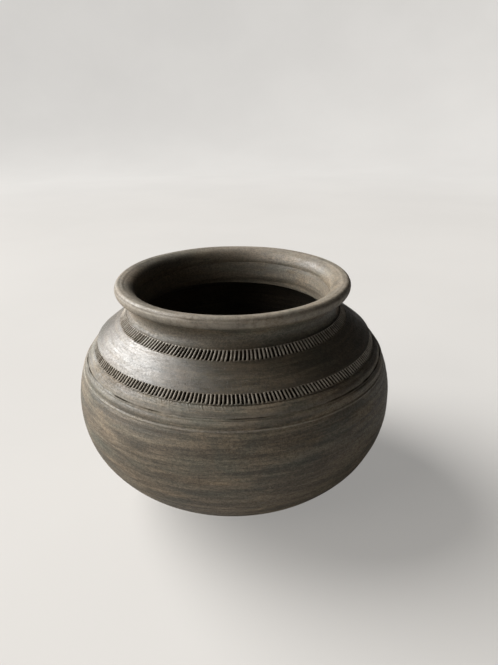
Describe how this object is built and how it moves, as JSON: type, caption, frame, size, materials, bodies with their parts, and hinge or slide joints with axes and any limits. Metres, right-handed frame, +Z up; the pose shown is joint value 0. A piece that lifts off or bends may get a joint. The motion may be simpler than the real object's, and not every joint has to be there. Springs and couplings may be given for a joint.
{
  "type": "black clay pot",
  "caption": "Squat round-bellied black clay pot with a flared lip, a short neck, a burnished shoulder between notched bands, and an open mouth to hold plants or dry goods.",
  "frame": {"origin": "middle of the flat base, on the surface that the pot stands on", "axes": "+Z up along the pot's axis of turning, out of the mouth"},
  "size_m": [0.25, 0.25, 0.1773],
  "materials": {
    "burnished_clay": "burnished black clay with a soft graphite sheen",
    "smoothed_clay": "smoothed dark clay with horizontal wiping streaks, satin to matt",
    "notched_clay": "tool-cut dark clay, matt in the notches"
  },
  "bodies": {
    "root": {"lower_bowl": "smoothed_clay", "upper_wall": "smoothed_clay", "shoulder_wall": "burnished_clay", "neck_collar": "burnished_clay", "lip_ring": "burnished_clay", "shoulder_bead": "burnished_clay", "lower_notched_band": "notched_clay", "upper_notched_band": "notched_clay"}
  },
  "joints": []
}
